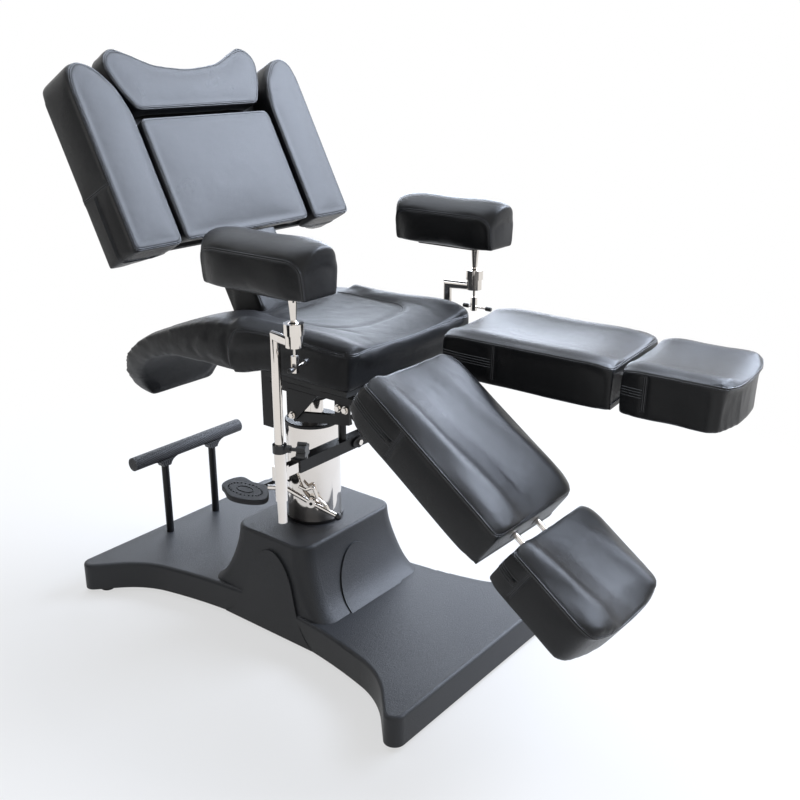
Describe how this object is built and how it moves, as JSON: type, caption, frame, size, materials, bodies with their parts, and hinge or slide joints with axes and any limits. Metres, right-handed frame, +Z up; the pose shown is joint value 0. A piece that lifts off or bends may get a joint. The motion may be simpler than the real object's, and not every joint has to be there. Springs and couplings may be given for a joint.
{
  "type": "tattoo chair",
  "caption": "Hydraulic reclining tattoo chair: swivelling seat on a pump column, split leg rests with extending foot pads, padded backrest and adjustable armrests.",
  "frame": {"origin": "where the lift column's axis meets the floor", "axes": "+Z up; the chair faces -Y, so +Y is the long way towards the back; +X is the sitter's left"},
  "size_m": [0.7346, 1.4913, 1.3333],
  "materials": {
    "black_leather": "satin black upholstery leather with a fine grain and twin-stitched seams",
    "black_frame": "satin black powder coat on steel",
    "chrome": "polished chrome plate",
    "black_board": "plywood painted black",
    "black_plastic": "moulded black plastic",
    "black_rubber": "moulded black rubber with a raised pattern",
    "graphite_cover": "textured graphite moulding"
  },
  "bodies": {
    "base": {"base_cover": "graphite_cover", "base_plate": "black_frame", "levelling_feet": "black_rubber", "pedestal_collar": "black_frame", "pump_sleeve": "chrome", "sleeve_cap": "black_frame", "footrest_frame": "black_frame", "footrest_grip": "black_rubber", "pivot_brackets": "black_frame"},
    "pedal": {"pedal_arm": "black_frame", "pedal_pad": "black_rubber"},
    "release_lever": {"foot_lever": "chrome", "lever_tip": "black_plastic"},
    "lift": {"pump_ram": "chrome"},
    "seat": {"swivel_head": "black_frame", "frame_plates": "black_frame", "seat_rails": "black_frame", "support_bars": "black_frame", "cross_tube": "black_frame", "rear_stub_tube": "black_frame", "seat_board": "black_board", "seat_cushion": "black_leather", "seat_tail": "black_leather", "frame_bolts": "chrome", "recline_brackets": "black_frame", "backrest_pin": "chrome"},
    "backrest": {"backrest_board": "black_board", "backrest_neck": "black_leather", "bolster_left": "black_leather", "bolster_right": "black_leather", "centre_pad": "black_leather", "headrest_pad": "black_leather"},
    "arm_bar_right": {"arm_bar_right": "chrome", "arm_block_right": "chrome"},
    "arm_collar_right": {"arm_ring_right": "black_plastic"},
    "arm_knob_right": {"arm_knob_right": "black_plastic"},
    "arm_post_right": {"arm_post_right": "chrome"},
    "arm_clamp_right": {"arm_handle_right": "chrome"},
    "arm_ball_right": {"arm_ball_right": "chrome"},
    "armrest_right": {"armrest_plate_right": "black_board", "armrest_pad_right": "black_leather"},
    "leg_yoke_right": {"leg_yoke_right": "black_frame"},
    "leg_right": {"leg_frame_right": "black_frame", "leg_pad_right": "black_leather"},
    "foot_right": {"foot_frame_right": "chrome", "foot_pad_right": "black_leather"},
    "arm_bar_left": {"arm_bar_left": "chrome", "arm_block_left": "chrome"},
    "arm_collar_left": {"arm_ring_left": "black_plastic"},
    "arm_knob_left": {"arm_knob_left": "black_plastic"},
    "arm_post_left": {"arm_post_left": "chrome"},
    "arm_clamp_left": {"arm_handle_left": "chrome"},
    "arm_ball_left": {"arm_ball_left": "chrome"},
    "armrest_left": {"armrest_plate_left": "black_board", "armrest_pad_left": "black_leather"},
    "leg_yoke_left": {"leg_yoke_left": "black_frame"},
    "leg_left": {"leg_frame_left": "black_frame", "leg_pad_left": "black_leather"},
    "foot_left": {"foot_frame_left": "chrome", "foot_pad_left": "black_leather"}
  },
  "joints": [
    {"name": "pedal_push", "type": "hinge", "parent": "base", "child": "pedal", "pos_m": [0.008, 0.11, 0.316], "axis": [0, -1, 0], "range_deg": [0, 18], "stiffness_Nm_per_rad": 14, "springref_deg": -20.05},
    {"name": "lever_tilt", "type": "hinge", "parent": "base", "child": "release_lever", "pos_m": [-0.06233, -0.04693, 0.3122], "axis": [-0.7848, -0.6198, 0], "range_deg": [-6, 6], "stiffness_Nm_per_rad": 3},
    {"name": "column_lift", "type": "slide", "parent": "base", "child": "lift", "axis": [0, 0, 1], "range_m": [-0.05, 0.15]},
    {"name": "seat_swivel", "type": "hinge", "parent": "lift", "child": "seat", "pos_m": [0, 0, 0.57], "axis": [0, 0, 1], "continuous": true},
    {"name": "backrest_recline", "type": "hinge", "parent": "seat", "child": "backrest", "pos_m": [0, 0.149, 0.738], "axis": [1, 0, 0], "range_deg": [-62.3, 20]},
    {"name": "arm_bar_slide_right", "type": "slide", "parent": "seat", "child": "arm_bar_right", "axis": [-1, 0, 0], "range_m": [-0.005, 0.05]},
    {"name": "arm_swing_right", "type": "hinge", "parent": "arm_bar_right", "child": "arm_collar_right", "pos_m": [-0.2937, -0.1848, 0.563], "axis": [0, 0, -1], "range_deg": [-15, 90]},
    {"name": "arm_height_right", "type": "slide", "parent": "arm_collar_right", "child": "arm_post_right", "axis": [0, 0, 1], "range_m": [-0.05, 0.07]},
    {"name": "arm_knob_turn_right", "type": "hinge", "parent": "arm_collar_right", "child": "arm_knob_right", "pos_m": [-0.27447, -0.22548, 0.563], "axis": [0.4274, -0.9041, 0], "range_deg": [-90, 90]},
    {"name": "arm_clamp_turn_right", "type": "hinge", "parent": "arm_post_right", "child": "arm_clamp_right", "pos_m": [-0.3083, -0.2522, 0.76], "axis": [0, 0, 1], "range_deg": [-90, 90]},
    {"name": "arm_tilt_right", "type": "hinge", "parent": "arm_post_right", "child": "arm_ball_right", "pos_m": [-0.3083, -0.2522, 0.834], "axis": [1, 0, 0], "range_deg": [-15, 15]},
    {"name": "armrest_turn_right", "type": "hinge", "parent": "arm_ball_right", "child": "armrest_right", "pos_m": [-0.3083, -0.2522, 0.89], "axis": [0, 0, 1], "range_deg": [-90, 90]},
    {"name": "leg_spread_right", "type": "hinge", "parent": "seat", "child": "leg_yoke_right", "pos_m": [-0.06, -0.3, 0.615], "axis": [0, 0, -1], "range_deg": [-1.2, 12.8]},
    {"name": "leg_pitch_right", "type": "hinge", "parent": "leg_yoke_right", "child": "leg_right", "pos_m": [-0.06112, -0.35369, 0.6774], "axis": [0.9998, -0.0209, 0], "range_deg": [-35.1, 24.9]},
    {"name": "foot_slide_right", "type": "slide", "parent": "leg_right", "child": "foot_right", "axis": [-0.0171, -0.818, -0.575], "range_m": [-0.027, 0.103]},
    {"name": "arm_bar_slide_left", "type": "slide", "parent": "seat", "child": "arm_bar_left", "axis": [1, 0, 0], "range_m": [-0.005, 0.05]},
    {"name": "arm_swing_left", "type": "hinge", "parent": "arm_bar_left", "child": "arm_collar_left", "pos_m": [0.2937, -0.1848, 0.563], "axis": [0, 0, 1], "range_deg": [-15, 90]},
    {"name": "arm_height_left", "type": "slide", "parent": "arm_collar_left", "child": "arm_post_left", "axis": [0, 0, 1], "range_m": [-0.05, 0.07]},
    {"name": "arm_knob_turn_left", "type": "hinge", "parent": "arm_collar_left", "child": "arm_knob_left", "pos_m": [0.27447, -0.22548, 0.563], "axis": [-0.4274, -0.9041, 0], "range_deg": [-90, 90]},
    {"name": "arm_clamp_turn_left", "type": "hinge", "parent": "arm_post_left", "child": "arm_clamp_left", "pos_m": [0.3083, -0.2522, 0.76], "axis": [0, 0, 1], "range_deg": [-90, 90]},
    {"name": "arm_tilt_left", "type": "hinge", "parent": "arm_post_left", "child": "arm_ball_left", "pos_m": [0.3083, -0.2522, 0.834], "axis": [1, 0, 0], "range_deg": [-15, 15]},
    {"name": "armrest_turn_left", "type": "hinge", "parent": "arm_ball_left", "child": "armrest_left", "pos_m": [0.3083, -0.2522, 0.89], "axis": [0, 0, 1], "range_deg": [-90, 90]},
    {"name": "leg_spread_left", "type": "hinge", "parent": "seat", "child": "leg_yoke_left", "pos_m": [0.06, -0.3, 0.615], "axis": [0, 0, 1], "range_deg": [-4.9, 9.1]},
    {"name": "leg_pitch_left", "type": "hinge", "parent": "leg_yoke_left", "child": "leg_left", "pos_m": [0.06459, -0.3535, 0.6774], "axis": [0.9963, 0.0854, 0], "range_deg": [-1.3, 58.7]},
    {"name": "foot_slide_left", "type": "slide", "parent": "leg_left", "child": "foot_left", "axis": [0.0854, -0.9961, -0.0227], "range_m": [-0.01, 0.12]}
  ]
}
